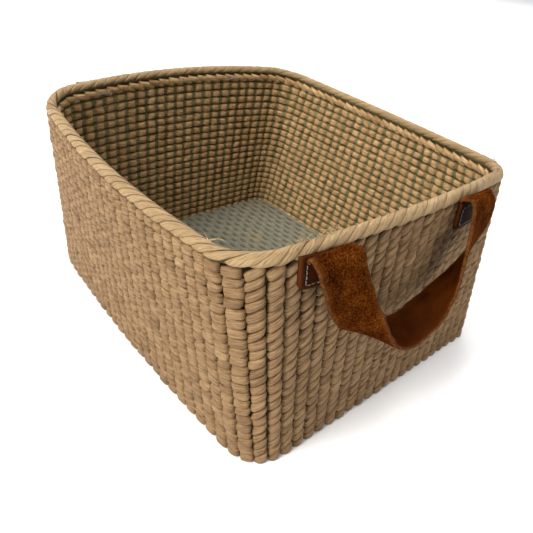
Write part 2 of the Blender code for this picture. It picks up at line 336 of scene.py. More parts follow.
class Nodes:
    """Small helper that adds shader nodes to one material and links them."""

    def __init__(self, name, roughness):
        self.material = bpy.data.materials.new(name)
        self.material.use_nodes = True
        self.tree = self.material.node_tree
        self.shader = self.tree.nodes["Principled BSDF"]
        self.shader.inputs["Roughness"].default_value = roughness

    def add(self, kind, settings=None, **inputs):
        """New node; inputs are values or sockets, by socket name."""
        node = self.tree.nodes.new(kind)
        for key, value in (settings or {}).items():
            setattr(node, key, value)
        for key, value in inputs.items():
            self.feed(node.inputs[key.replace("_", " ")], value)
        return node

    def feed(self, socket, value):
        if isinstance(value, bpy.types.NodeSocket):
            self.tree.links.new(value, socket)
        else:
            socket.default_value = value

    def math(self, operation, first, second=0.0):
        node = self.add("ShaderNodeMath", {"operation": operation})
        self.feed(node.inputs[0], first)
        self.feed(node.inputs[1], second)
        return node.outputs[0]

    def value(self, name):
        """One of the mesh's per-point numbers."""
        node = self.add("ShaderNodeAttribute", {"attribute_name": name})
        return node.outputs["Fac"]

    def vector(self, name, scale):
        """One of the mesh's per-point vectors, scaled."""
        node = self.add("ShaderNodeAttribute", {"attribute_name": name})
        place = self.add("ShaderNodeMapping", Vector=node.outputs["Vector"], Scale=scale)
        return place.outputs[0]

    def place(self):
        coordinates = self.add("ShaderNodeTexCoord")
        return coordinates.outputs["Object"]

    def noise(self, vector, scale, detail, rough):
        node = self.add("ShaderNodeTexNoise", Vector=vector, Scale=scale, Detail=detail, Roughness=rough)
        return node.outputs["Fac"]

    def ramp(self, factor, stops):
        node = self.add("ShaderNodeValToRGB", Fac=factor)
        ramp = node.color_ramp
        while len(ramp.elements) < len(stops):
            ramp.elements.new(0.5)
        for element, (position, colour) in zip(ramp.elements, stops):
            element.position = position
            element.color = (*colour, 1.0)
        return node.outputs["Color"]

    def mix(self, kind, factor, first, second):
        node = self.add("ShaderNodeMix", {"data_type": "RGBA", "blend_type": kind})
        self.feed(node.inputs["Factor"], factor)
        self.feed(node.inputs[6], first if isinstance(first, bpy.types.NodeSocket) else (*first, 1.0))
        self.feed(node.inputs[7], second if isinstance(second, bpy.types.NodeSocket) else (*second, 1.0))
        return node.outputs[2]

    def bump(self, height, strength, distance):
        node = self.add("ShaderNodeBump", Height=height, Strength=strength, Distance=distance)
        self.feed(self.shader.inputs["Normal"], node.outputs[0])

    def colour(self, value):
        self.feed(self.shader.inputs["Base Color"], value)


def leaf_material(name, stops, groove_shade, roughness):
    """Flat strips of dried leaf: fibre streaks along each strip, a tone for each strip, and painted
    shade towards a dark colour at their sunken edges.
    """
    look = Nodes(name, roughness)
    streak = look.noise(look.vector("fibre", (0.10, 1.0, 1.0)), 1.0, 3.0, 0.6)
    fine = look.noise(look.vector("fibre", (0.16, 2.9, 1.0)), 1.0, 2.0, 0.5)
    streaked = look.math("MULTIPLY", look.math("SUBTRACT", streak, 0.5), 1.1)
    tone = look.math("ADD", look.value("tone"), streaked)
    base = look.ramp(tone, stops)
    # Painted shade: each strip is darkened towards the given dark colour where it sinks in at its edges
    # or goes under other parts.
    shades = ((0.0, WHITE), (0.55, (0.86, 0.83, 0.78)), (1.0, groove_shade))
    dark = look.ramp(look.value("groove_shade"), shades)
    stained = look.mix("MIX", look.value("stain"), base, (0.070, 0.028, 0.010))
    shaded = look.mix("MULTIPLY", 1.0, stained, dark)
    lines = look.ramp(fine, ((0.36, (0.42, 0.34, 0.26)), (0.50, WHITE)))
    look.colour(look.mix("MULTIPLY", 0.8, shaded, lines))
    height = look.math("ADD", streak, look.math("MULTIPLY", fine, 0.6))
    look.bump(height, 0.85, 0.0012)
    look.shader.inputs["Specular IOR Level"].default_value = 0.32
    return look.material


def outer_stitch_material():
    stops = (
        (0.00, (0.091, 0.043, 0.012)),
        (0.28, (0.165, 0.089, 0.033)),
        (0.52, (0.259, 0.153, 0.065)),
        (0.76, (0.336, 0.212, 0.098)),
        (1.00, (0.430, 0.292, 0.151)),
    )
    # The last colour is the painted shade at the outer stitches' sunken edges.
    return leaf_material("outer_stitch_leaf", stops, (0.12, 0.07, 0.03), 0.6)


def inner_bead_material():
    stops = (
        (0.00, (0.214, 0.116, 0.039)),
        (0.35, (0.385, 0.233, 0.097)),
        (0.70, (0.537, 0.348, 0.167)),
        (1.00, (0.661, 0.474, 0.265)),
    )
    # The last colour is the painted shade at the inner beads' sunken edges.
    return leaf_material("inner_bead_leaf", stops, (0.58, 0.52, 0.38), 0.62)


def rim_leaf_material():
    stops = (
        (0.00, (0.175, 0.101, 0.039)),
        (0.35, (0.304, 0.193, 0.085)),
        (0.70, (0.409, 0.279, 0.136)),
        (1.00, (0.516, 0.377, 0.207)),
    )
    # The last colour is the painted shade at the rim strips' edges and tucks.
    return leaf_material("rim_leaf", stops, (0.20, 0.13, 0.07), 0.55)


def grass_material():
    """Bundle of thin grass stems running round the basket, with painted shade where it lies deep in the
    wall.
    """
    look = Nodes("course_grass", 0.75)
    stems = look.noise(look.vector("fibre", (0.10, 2.6, 1.0)), 1.0, 4.0, 0.65)
    patch = look.noise(look.place(), 55.0, 2.0, 0.5)
    tone = look.math("ADD", stems, look.math("MULTIPLY", look.math("SUBTRACT", patch, 0.5), 0.5))
    base = look.ramp(tone, (
        (0.30, (0.062, 0.053, 0.021)),
        (0.50, (0.165, 0.141, 0.060)),
        (0.72, (0.300, 0.255, 0.115)),
    ))
    # Painted shade: the bundle is darkened to about an eighth of its colour where it lies behind the
    # stitches and between the courses.
    painted_groove_shade = look.ramp(look.value("groove_shade"), ((0.0, WHITE), (1.0, (0.13, 0.11, 0.08))))
    look.colour(look.mix("MULTIPLY", 1.0, base, painted_groove_shade))
    look.bump(stems, 0.8, 0.0010)
    look.shader.inputs["Specular IOR Level"].default_value = 0.2
    return look.material


def suede_material():
    """Rough orange-brown suede, paler where it is rubbed along the edges."""
    look = Nodes("suede", 0.95)
    place = look.place()
    nap = look.noise(place, 900.0, 4.0, 0.7)
    cloud = look.noise(place, 70.0, 3.0, 0.6)
    tone = look.math("ADD", look.math("MULTIPLY", nap, 0.75), look.math("MULTIPLY", cloud, 0.35))
    base = look.ramp(tone, (
        (0.40, (0.012, 0.0020, 0.0003)),
        (0.53, (0.050, 0.0105, 0.0012)),
        (0.63, (0.105, 0.028, 0.0034)),
        (0.76, (0.260, 0.092, 0.014)),
    ))
    worn = look.mix("ADD", look.value("wear"), base, (0.075, 0.030, 0.006))
    look.colour(worn)
    look.bump(nap, 0.9, 0.0012)
    look.shader.inputs["Specular IOR Level"].default_value = 0.1
    look.shader.inputs["IOR"].default_value = 1.1
    return look.material


def grain_material(name, dark, light):
    """Smooth dyed leather with a fine pebbled grain."""
    look = Nodes(name, 0.6)
    place = look.place()
    pebbles = look.add("ShaderNodeTexVoronoi", Vector=place, Scale=1100.0).outputs["Distance"]
    cloud = look.noise(place, 60.0, 4.0, 0.6)
    base = look.ramp(cloud, ((0.3, dark), (0.75, light)))
    worn = look.mix("ADD", look.math("MULTIPLY", look.value("wear"), 0.5), base, (0.060, 0.018, 0.003))
    look.colour(worn)
    look.bump(pebbles, 0.25, 0.0006)
    look.shader.inputs["Specular IOR Level"].default_value = 0.1
    look.shader.inputs["IOR"].default_value = 1.15
    return look.material


def edge_material():
    """Raw cut edge of the leather, layered lighter and darker."""
    look = Nodes("leather_edge", 0.9)
    look.shader.inputs["Specular IOR Level"].default_value = 0.05
    layers = look.noise(look.place(), 600.0, 3.0, 0.6)
    look.colour(look.ramp(layers, ((0.35, (0.045, 0.013, 0.003)), (0.7, (0.130, 0.044, 0.010)))))
    look.bump(layers, 0.4, 0.0005)
    return look.material


def thread_material():
    """Twisted waxed thread."""
    look = Nodes("waxed_thread", 0.5)
    wave = look.add("ShaderNodeTexWave", Vector=look.place(), Scale=420.0, Distortion=2.0)
    twist = wave.outputs["Fac"]
    look.colour(look.ramp(twist, ((0.2, (0.045, 0.045, 0.048)), (0.9, (0.190, 0.190, 0.195)))))
    look.bump(twist, 0.4, 0.0003)
    return look.material


def floor_mat_material():
    """Grey-green grass of the floor, with paler yellowish patches and painted shade between the rows."""
    look = Nodes("floor_mat_grass", 0.8)
    stems = look.noise(look.vector("fibre", (0.16, 2.2, 1.0)), 1.0, 4.0, 0.65)
    patch = look.noise(look.place(), 34.0, 3.0, 0.6)
    base = look.ramp(stems, (
        (0.28, (0.085, 0.080, 0.052)),
        (0.52, (0.180, 0.172, 0.122)),
        (0.75, (0.290, 0.272, 0.196)),
    ))
    yellow = look.ramp(patch, ((0.52, BLACK), (0.72, WHITE)))
    tinted = look.mix("MIX", look.math("MULTIPLY", yellow, 0.5), base, (0.27, 0.215, 0.10))
    # Painted shade: darker in the valleys between the rows and in the stitch slots.
    painted_groove_shade = look.ramp(look.value("groove_shade"), ((0.0, WHITE), (1.0, (0.34, 0.31, 0.24))))
    look.colour(look.mix("MULTIPLY", 1.0, tinted, painted_groove_shade))
    look.bump(stems, 0.7, 0.0010)
    return look.material


# --- Wall courses ---
CORE_STEPS = 300
CORE_SIDES = 14
RIM_CORE_SIDES = 12


def course_core(index, material):
    """Grass bundle of one course, a soft ring between the two stitched faces."""
    travel = np.arange(CORE_STEPS) * AROUND / CORE_STEPS
    turn = np.arange(CORE_SIDES) * 2 * math.pi / CORE_SIDES
    travel, turn = np.meshgrid(travel, turn, indexing="ij")
    middle_inset = (OUTER_SINK + COURSE_THICKNESS - INNER_SINK) / 2
    half_depth = (COURSE_THICKNESS - INNER_SINK - OUTER_SINK) / 2
    squared = np.sign(np.cos(turn)) * np.abs(np.cos(turn)) ** 0.75
    inset = middle_inset - half_depth * squared
    level = (index + 0.5 + 0.497 * np.sin(turn)) / COURSES
    points = wall_point(travel, np.clip(level, 0.0, 1.0), inset)
    points[..., 2] = np.maximum(points[..., 2], 0.0004)
    # Painted shade: the bundle's outward half, seen only between the outer stitches, is fully shaded,
    # and its top and bottom, where it meets the next courses, partly.
    groove_shade = np.where(np.cos(turn) > 0.1, 1.0, 0.6 * np.abs(np.sin(turn)) ** 4)
    fibre = np.stack([travel * 1000, turn * 2.2 + 31.0 * index, travel * 0], -1)
    faces = grid_faces(CORE_STEPS, CORE_SIDES, True, True)[:, ::-1]
    return make_mesh(
        f"course_{index + 1:02d}_grass", points, faces, material,
        values={"groove_shade": groove_shade}, vectors={"fibre": fibre},
    )


def stitch_shape(across_steps, up_steps, roundness):
    """Grid of one pillow-shaped stitch: across, up, and lift from 0 to 1."""
    across = np.linspace(-1, 1, across_steps + 1)
    up = np.linspace(-1, 1, up_steps + 1)
    across = np.sign(across) * np.abs(across) ** 0.8
    up = np.sign(up) * np.abs(up) ** 0.8
    across, up = np.meshgrid(across, up, indexing="ij")
    lift = (1 - np.abs(across) ** roundness) * (1 - np.abs(up) ** roundness)
    return across, up, np.clip(lift, 0, 1) ** 0.5


def stitch_sizes(inside, long_side):
    """Half width, half height in courses, slant, depth of the edge and rise of each stitch."""
    count = COLUMNS
    if inside:
        half_width = PITCH * random.uniform(0.345, 0.415, count)
        half_height = random.uniform(0.42, 0.49, count)
        slant = random.normal(0.0004, 0.0003, count)
        sink = COURSE_THICKNESS - INNER_SINK - 0.0004
        rise = -(BEAD_LIFT + random.normal(0, 0.00015, count))
    else:
        half_width = PITCH * blend(0.465, 0.525, long_side) * random.uniform(0.96, 1.04, count)
        half_height = random.uniform(0.50, 0.57, count)
        slant = blend(SHORT_SIDE_SLANT, LONG_SIDE_SLANT, long_side) * random.uniform(0.75, 1.25, count)
        sink = OUTER_SINK - 0.0001
        rise = STITCH_LIFT + random.normal(0, 0.00022, count)
    return half_width, half_height, slant, sink, rise


def stitch_lifts(index, inside, steps, long_side):
    """Grid of one stitch and each stitch's lift: boxier on the long sides outside."""
    across, up, lift = stitch_shape(*steps, 2.3 if inside else 2.8)
    if not inside:
        _, _, boxy = stitch_shape(*steps, 4.2)
        lift = blend(lift, boxy, each(long_side))
    if index == 0 and not inside:
        lift = np.maximum(lift, np.where(up < 0, lift[..., steps[1] // 2, None], 0.0))
    return across, up, lift


def stitch_patches(index, inside):
    """Points, painted groove shade, tones, fibre directions and faces of one course's stitches."""
    steps = (5, 5) if inside else (8, 8)
    count = COLUMNS
    start = (np.arange(count) + 0.5) * PITCH
    long_side = on_long_side(start)
    across, up, lift = stitch_lifts(index, inside, steps, long_side)
    start = start + random.normal(0, 1, count) * PITCH * blend(0.016, 0.030, long_side)
    half_width, half_height, slant, sink, rise = stitch_sizes(inside, long_side)
    middle = random.normal(0, 0.03, count)
    taper = random.uniform(0.10, 0.34, count)
    lean = random.normal(0, 0.05, count)
    fan = random.normal(0, 0.0004, count)
    travel = each(start) + each(half_width) * across + each(fan) * up
    narrow = 1 - each(taper) * np.abs(across) ** 2.5
    tall = each(half_height) * up * narrow + each(middle) + each(lean) * across * up
    level = (index + 0.5 + tall) / COURSES
    ridges = 0.00010 * np.cos(up * 9.0 + each(middle) * 40 + across * 1.5) * lift
    inset = sink - each(rise) * lift
    inset = inset + (ridges if inside else -ridges)
    points = wall_point(travel, np.clip(level, 0.004, 1.0), inset)
    points[..., 2] += each(slant) / 2 * across
    points[..., 2] = np.maximum(points[..., 2], 0.0003)
    # Painted shade, darker towards each stitch's edges where it sinks into the grass.
    groove_shade = np.clip(1 - lift * 1.6, 0, 1) + 0 * travel
    tone = each(np.clip(random.normal(0.52, 0.06, count), 0.08, 0.95)) + 0 * travel
    offset = each(random.uniform(0, 400, count))
    along = (travel - each(start)) * 1000 + offset
    fibre = np.stack([along, up * 3.0 + offset * 3.1, 0 * travel], -1)
    one = grid_faces(*across.shape)
    faces = repeated_faces(one[:, ::-1] if inside else one, across.size, count)
    return points.reshape(-1, 3), groove_shade.ravel(), tone.ravel(), fibre.reshape(-1, 3), faces


def stain_at(points):
    """Brown smear that the leather has left on the east wall beside its back patch."""
    up = points[:, 2] - STAIN_Z
    along = points[:, 1] - STAIN_Y - STAIN_LEAN * up
    mottle = 0.62 + 0.38 * np.sin(points[:, 1] * 900.0) * np.sin(points[:, 2] * 760.0)
    smear = np.exp(-(along / STAIN_WIDTH) ** 2 - (up / STAIN_HEIGHT) ** 2) * mottle
    return np.where(points[:, 0] > 0.1, np.clip(smear, 0, 0.85), 0.0)


def course_stitches(index, inside, material):
    """All the stitches of one course on one face of the wall."""
    points, groove_shade, tone, fibre, faces = stitch_patches(index, inside)
    stain = 0.0 * tone if inside else stain_at(points)
    word = "inner_beads" if inside else "outer_stitches"
    return make_mesh(
        f"course_{index + 1:02d}_{word}", points, faces, material,
        values={"groove_shade": groove_shade, "tone": tone, "stain": stain}, vectors={"fibre": fibre},
    )


# --- Rim ---
STRAND_STEPS = 7
STRAND_SIDES = 4


def rim_middle(travel):
    """Middle of the rim bundle and the outward direction there."""
    travel = np.asarray(travel, float)
    one = np.ones_like(travel)
    outside = wall_point(travel, one, 0.0)
    centre = wall_point(travel, one, RIM_INSET)
    centre[..., 2] += RIM_RADIUS
    outward = outside - wall_point(travel, one, 0.001)
    outward[..., 2] = 0.0
    outward /= np.linalg.norm(outward, axis=-1, keepdims=True)
    return centre, outward


def rim_core(material):
    """Grass bundle inside the rim's wrapping."""
    travel = np.arange(CORE_STEPS) * AROUND / CORE_STEPS
    turn = np.arange(RIM_CORE_SIDES) * 2 * math.pi / RIM_CORE_SIDES
    travel, turn = np.meshgrid(travel, turn, indexing="ij")
    centre, outward = rim_middle(travel)
    radius = RIM_RADIUS - 0.0011
    points = centre + outward * (radius * np.cos(turn))[..., None]
    points[..., 2] += (radius + 0.0008) * np.sin(turn) - 0.0007
    fibre = np.stack([travel * 1000, turn * 2.2, travel * 0], -1)
    # Painted shade: the grass under the wrapping is darkened to about half all round.
    return make_mesh(
        "rim_grass", points, grid_faces(CORE_STEPS, RIM_CORE_SIDES, True, True), material,
        values={"groove_shade": 0.5 + 0 * turn}, vectors={"fibre": fibre},
    )


def rim_wrapping(material):
    """Leaf strips wound slantwise over the rim, one to each column of stitches."""
    wide, along = np.meshgrid(np.linspace(-1, 1, 9), np.linspace(0, 1, 19), indexing="ij")
    count = COLUMNS
    start = each((np.arange(count) + 0.5) * PITCH + random.normal(0, 0.04, count) * PITCH)
    long_side = on_long_side(start)
    half = each(PITCH * random.uniform(0.53, 0.66, count))
    advance = PITCH * blend(2.2, 3.1, long_side) * each(random.uniform(0.92, 1.08, count))
    angle = np.radians(blend(WRAP_START, WRAP_END, along)) + 0 * start
    outer_pinch = 0.34 * np.clip(1 - along / 0.16, 0, 1) ** 2
    inner_pinch = 0.2 * np.clip((along - 0.86) / 0.14, 0, 1) ** 2
    pinch = 1 - outer_pinch - inner_pinch
    travel = start + advance * (along - 0.42) + half * wide * pinch
    centre, outward = rim_middle(travel)
    pillow = blend(0.00060, 0.00042, long_side) * np.clip(1 - np.abs(wide) ** 2.4, 0, 1) ** 0.6
    overlap = 0.00030 * wide
    ridge = 0.00007 * np.cos(wide * 11.0 + each(random.uniform(0, 6, count)))
    tuck = 0.0011 * np.clip(1 - along / 0.10, 0, 1) + 0.0008 * np.clip((along - 0.92) / 0.08, 0, 1)
    radius = RIM_RADIUS - WRAP_SLIMMER + pillow + overlap + ridge - tuck
    points = centre + outward * (radius * np.cos(angle))[..., None]
    points[..., 2] += radius * np.sin(angle)
    drop = np.clip(1 - along / 0.22, 0, 1)
    scallop = blend(0.0012, 0.0005, long_side) * wide ** 2
    points[..., 2] -= drop * (0.0013 + each(random.uniform(0, 0.0007, count)) - scallop)
    points += outward * (drop * 0.0016)[..., None]
    # Painted shade along each strip's edges and where it tucks in under the rim on the outside.
    groove_shade = np.clip(np.abs(wide) ** 7 + 0.8 * drop ** 3, 0, 1) + 0 * travel
    tone = each(np.clip(random.normal(0.60, 0.07, count), 0.15, 0.95)) + 0 * travel
    offset = each(random.uniform(0, 400, count))
    fibre = np.stack([along * 22 + offset, wide * 5.0 + offset * 2.7, 0 * travel], -1)
    one = grid_faces(*wide.shape)[:, ::-1]
    return make_mesh(
        "rim_wrapping", points, repeated_faces(one, wide.size, count), material,
        values={"groove_shade": groove_shade, "tone": tone}, vectors={"fibre": fibre},
    )


def inside_rim_row(material):
    """Row of long slanted stitches just under the rim, on the inside."""
    across, up, lift = stitch_shape(6, 5, 2.4)
    count = COLUMNS
    start = each((np.arange(count) + 0.15) * PITCH + random.normal(0, 0.04, count) * PITCH)
    travel = start + PITCH * 0.56 * across
    level = 1 - (0.30 - 0.36 * up) / COURSES
    points = wall_point(travel, level, COURSE_THICKNESS - 0.0012 + 0.0016 * lift)
    points[..., 2] += 0.0012 * across
    # Painted shade, darker towards each stitch's edges.
    groove_shade = np.clip(1 - lift * 1.5, 0, 1) + 0 * travel
    tone = each(np.clip(random.normal(0.5, 0.13, count), 0.1, 0.9)) + 0 * travel
    offset = each(random.uniform(0, 400, count))
    fibre = np.stack([across * 6 + offset, up * 3.0 + offset * 3.1, 0 * travel], -1)
    faces = repeated_faces(grid_faces(*across.shape)[:, ::-1], across.size, count)
    return make_mesh(
        "rim_inner_stitches", points, faces, material,
        values={"groove_shade": groove_shade, "tone": tone}, vectors={"fibre": fibre},
    )


def frayed_strand(travel):
    """Points of one thin loose fibre that starts on the rim's top and leans inwards."""
    centre, outward = rim_middle(np.array([travel]))
    ahead, _ = rim_middle(np.array([travel + 0.01]))
    along = (ahead - centre)[0] / 0.01 * random.choice((-1.0, 1.0))
    inward = -outward[0] * random.uniform(0.1, 0.9)
    length = random.uniform(0.004, 0.010)
    rise = random.uniform(0.10, 0.40)
    points = []
    for share in np.arange(STRAND_STEPS + 1) / STRAND_STEPS:
        middle = centre[0] + along * length * share + inward * length * 0.5 * share
        middle = middle + np.array((0, 0, RIM_RADIUS + length * rise * math.sin(2.2 * share)))
        thick = 0.00022 * (1 - 0.75 * share)
        for angle in np.arange(STRAND_SIDES) * 2 * math.pi / STRAND_SIDES:
            points.append(middle + thick * np.array((math.cos(angle), math.sin(angle), math.sin(angle))))
    return points


def frayed_ends(material):
    """A few loose fibres standing off the rim's top near the corners."""
    places = ((0.915, 5), (0.925, 4), (0.862, 3), (0.105, 6), (0.118, 4), (0.56, 3))
    points = []
    for share, strands in places:
        for _ in range(strands):
            points += frayed_strand((share + random.normal(0, 0.0035)) * AROUND)
    points = np.array(points)
    count = len(points)
    points_each = (STRAND_STEPS + 1) * STRAND_SIDES
    one = grid_faces(STRAND_STEPS + 1, STRAND_SIDES, False, True)
    return make_mesh(
        "rim_frayed_ends", points, repeated_faces(one, points_each, count // points_each), material,
        values={"groove_shade": np.zeros(count), "tone": np.full(count, 0.8)},
        vectors={"fibre": points * 900},
    )


# --- Floor ---
def floor_mat(material):
    """Coiled rows of grass across the floor, with staggered stitches over them."""
    half_x = BASE_HALF_LENGTH - COURSE_THICKNESS + MAT_TUCK
    half_y = BASE_HALF_WIDTH - COURSE_THICKNESS + MAT_TUCK
    radius = BASE_CORNER_RADIUS - COURSE_THICKNESS
    down = np.linspace(-1, 1, MAT_POINTS_WIDE) * half_y
    over = np.maximum(np.abs(down) - (half_y - radius), 0)
    reach = half_x - radius + np.sqrt(np.maximum(radius ** 2 - over ** 2, 0))
    x = np.linspace(-1, 1, MAT_POINTS_LONG)[None] * reach[:, None]
    y = down[:, None] + 0 * x
    wander = 0.0012 * np.sin(x * 31.0 + y * 9.0) + 0.0007 * np.sin(x * 73.0 + 1.0)
    row = (y + wander) / MAT_ROW
    number = np.floor(row)
    bulge = np.sqrt(np.clip(1 - (2 * (row - number) - 1) ** 2, 0, 1))
    stagger = np.mod(number, 2) * 0.5 + 0.16 * np.sin(number * 12.9) + 0.10 * np.sin(x * 57.0 + number)
    stitch = np.mod(x / MAT_STITCH + stagger, 1.0)
    slot = np.clip((0.30 - np.abs(stitch - 0.5)) / 0.10, 0, 1)
    slot = slot * np.clip((row - number - 0.42) / 0.14, 0, 1)
    height = MAT_TOP + MAT_BULGE * bulge - MAT_SLOT * slot * bulge
    top = np.stack([x, y, height], -1)
    bottom = np.stack([x, y, MAT_UNDERSIDE * (1 - bulge)], -1)
    # Painted shade in the valleys between the rows and in the stitch slots.
    groove_shade = np.clip(1.0 - bulge * 1.15, 0, 1) * 0.6 + 0.9 * slot * bulge
    fibre = np.stack([x * 1000, y * 1000 * 1.1, 0 * x], -1)
    points = np.concatenate([top.reshape(-1, 3), bottom.reshape(-1, 3)])
    return make_mesh(
        "floor_mat_rows", points, slab_faces(MAT_POINTS_WIDE, MAT_POINTS_LONG, -1), material,
        values={"groove_shade": np.tile(groove_shade.ravel(), 2)},
        vectors={"fibre": np.tile(fibre.reshape(-1, 3), (2, 1))},
    )


# --- Leather straps ---
FACE_POINTS = 9
EDGE_POINTS = 3
FOLD_STEPS = 22
LOOP_STEPS = 139
LEG_OVERLAP_STEPS = 5
OUTSIDE = 0                 # places of the strap's three materials
INSIDE = 1
EDGE = 2


def strap_section():
    """Outline of the strap's cross section: shares of its half width and half thickness."""
    flat = np.linspace(-0.93, 0.93, FACE_POINTS)
    face = [(share, 1.0) for share in flat]
    end = [(0.985, 0.72), (1.0, 0.0), (0.985, -0.72)]
    back = [(share, -1.0) for share in flat[::-1]]
    start = [(-0.985, -0.72), (-1.0, 0.0), (-0.985, 0.72)]
    return np.array(face + end + back + start)


def side_of_strap(corners):
    """Material place of a face that joins these points of the section."""
    back = FACE_POINTS + EDGE_POINTS
    if len(corners) > 4:
        return EDGE
    if all(corner < FACE_POINTS for corner in corners):
        return OUTSIDE
    if all(back <= corner < back + FACE_POINTS for corner in corners):
        return INSIDE
    return EDGE


def ribbon(name, sections, widths, materials, thickness=STRAP_THICKNESS, cup=0.0):
    """Strap swept along sections (middles, width directions, outward directions)."""
    middles, acrosses, normals = sections
    section = strap_section()
    sides = len(section)
    length = np.concatenate([[0], np.cumsum(np.linalg.norm(np.diff(middles, axis=0), axis=1))])
    wave = 0.00030 * np.sin(length * 260.0) + 0.00020 * np.sin(length * 610.0 + 1.0)
    points = []
    wear = []
    for middle, across, normal, width, ripple in zip(middles, acrosses, normals, widths, wave):
        curl = cup * np.clip(1 - (width - LOOP_WAIST) / (STRAP_WIDTH - LOOP_WAIST), 0, 1)
        wide = section[:, 0] * (width / 2 + ripple)
        thick = section[:, 1] * thickness / 2 - curl * (section[:, 0] ** 2 - 0.4)
        points.append(middle + across * wide[:, None] + normal * thick[:, None])
        wear.append(np.clip(np.abs(section[:, 0]) * 4.0 - 3.2, 0, 1) ** 1.5)
    points = np.array(points)
    faces = grid_faces(len(middles), sides, False, True)
    caps = [list(range(sides))[::-1], [(len(middles) - 1) * sides + corner for corner in range(sides)]]
    item = make_mesh(name, points, faces.tolist() + caps, materials[0], values={"wear": np.array(wear)})
    for material in materials[1:]:
        item.data.materials.append(material)
    for polygon in item.data.polygons:
        polygon.material_index = side_of_strap([vertex % sides for vertex in polygon.vertices])
    fix_outward(item)
    return item


def fold_sections(side, fold, end, first, last, steps):
    """Sections round one folded top, from one angle above level to another."""
    angles = np.radians(np.linspace(first, last, steps))
    spokes = np.stack([side * np.cos(angles), 0 * angles, np.sin(angles)], -1)
    centre = np.array((fold[0], fold[1] + end * HANDLE_SPREAD, fold[2]))
    middles = centre + spokes * (FOLD_RADIUS - STRAP_THICKNESS / 2)
    acrosses = np.tile(np.array((0.0, side * end, 0.0)), (steps, 1))
    return middles, acrosses, spokes


def hanging_loop(word, side, fold, materials):
    """The strap between its two folds, hanging as a twisted U."""
    angle = np.linspace(-1, 1, LOOP_STEPS + 2)[1:-1] * math.pi / 2
    sink = np.cos(angle)
    across = np.sign(angle) * np.abs(np.sin(angle)) ** 0.95
    radius = FOLD_RADIUS - STRAP_THICKNESS / 2
    out = radius * math.cos(math.radians(FOLD_START))
    up = radius * math.sin(math.radians(FOLD_START))
    swell = EAST_SWELL if side > 0 else WEST_SWELL
    middles = np.stack([
        side * (abs(fold[0]) + out + LOOP_REACH * sink ** swell),
        fold[1] + HANDLE_SPREAD * across - LOOP_LEAN * sink ** 2,
        fold[2] + up * (1 - sink) - LOOP_DROP * sink ** 1.5,
    ], -1)
    twist = LOOP_TWIST * sink ** 3
    along = unit(np.gradient(middles, axis=0))
    outward = np.array((side, 0.0, 0.0))
    below = unit(np.cross(along, outward)) * side
    flat_face = unit(np.cross(below, along))
    flat_face *= np.sign(flat_face @ outward)[:, None]
    normals = flat_face * np.cos(twist)[:, None] + below * np.sin(twist)[:, None]
    acrosses = unit(np.cross(along, normals))
    widths = blend(LOOP_WAIST, STRAP_WIDTH, np.sin(angle) ** 8)
    over = FOLD_START + LEG_OVERLAP
    front = fold_sections(side, fold, -1, over, FOLD_START, LEG_OVERLAP_STEPS)
    back = fold_sections(side, fold, 1, FOLD_START, over, LEG_OVERLAP_STEPS)
    hanging = (middles, acrosses, normals)
    sections = [np.concatenate(parts) for parts in zip(front, hanging, back)]
    full = np.full(LEG_OVERLAP_STEPS, STRAP_WIDTH)
    widths = np.concatenate([full, widths, full])
    return ribbon(f"{word}_strap", sections, widths, materials, cup=LOOP_CUP)


def fold_strip(word, name, side, fold, end, materials):
    """Folded top of one leg: up from the patch and over the fold line."""
    sections = fold_sections(side, fold, end, FOLD_END, FOLD_START + FOLD_OVERLAP, FOLD_STEPS)
    widths = np.full(FOLD_STEPS, STRAP_WIDTH - FOLD_SLIMMER)
    thickness = STRAP_THICKNESS - FOLD_SLIMMER
    return ribbon(f"{word}_fold_{name}", sections, widths, materials, thickness)


def patch_points(side, fold, end, wide, down, lift):
    """Points on a short wall for shares across and down a patch, lifted off it."""
    y = fold[1] + end * HANDLE_SPREAD + wide * PATCH_WIDTH / 2
    z = fold[2] - FOLD_RADIUS + PATCH_TUCK - down * PATCH_HEIGHT
    y_share = y / RIM_HALF_WIDTH
    wall_top = rim_height(np.full_like(y_share, side), y_share) - RIM_RADIUS
    level = z / wall_top
    half_x = blend(BASE_HALF_LENGTH, RIM_HALF_LENGTH, level)
    half_y = blend(BASE_HALF_WIDTH, RIM_HALF_WIDTH, level)
    bow = blend(0.0, RIM_BOW_EAST if side > 0 else RIM_BOW_WEST, level)
    x = side * (half_x + bow * (1 - (y / half_y) ** 2) + lift)
    return np.stack([x, y, z], -1)


def end_patch(word, name, side, fold, end, material):
    """Sewn end of the strap, lying on the wall, with rounded lower corners."""
    wide, down = np.meshgrid(np.linspace(-1, 1, 15), np.linspace(0, 1, 19))
    faces = slab_faces(*wide.shape, 1)
    below = np.maximum(down * PATCH_HEIGHT - (PATCH_HEIGHT - PATCH_CORNER), 0)
    shrink = PATCH_CORNER - np.sqrt(np.maximum(PATCH_CORNER ** 2 - below ** 2, 0))
    wide = wide * (1 - shrink / (PATCH_WIDTH / 2))
    dent = 0.0004 * np.exp(-((np.abs(wide) - 0.71) / 0.10) ** 2)
    edge = 0.0005 * (np.abs(wide) ** 14 + down ** 20)
    front = patch_points(side, fold, end, wide, down, PATCH_FACE - dent - edge)
    back = patch_points(side, fold, end, wide, down, PATCH_BACK)
    points = np.concatenate([front.reshape(-1, 3), back.reshape(-1, 3)])
    wear = np.clip(np.abs(wide) ** 10 + down ** 14, 0, 1).ravel()
    item = make_mesh(
        f"{word}_patch_leather_{name}", points, faces, material,
        values={"wear": np.tile(wear, 2)},
    )
    fix_outward(item)
    return item


THREAD_STEPS = 6
THREAD_SIDES = 6


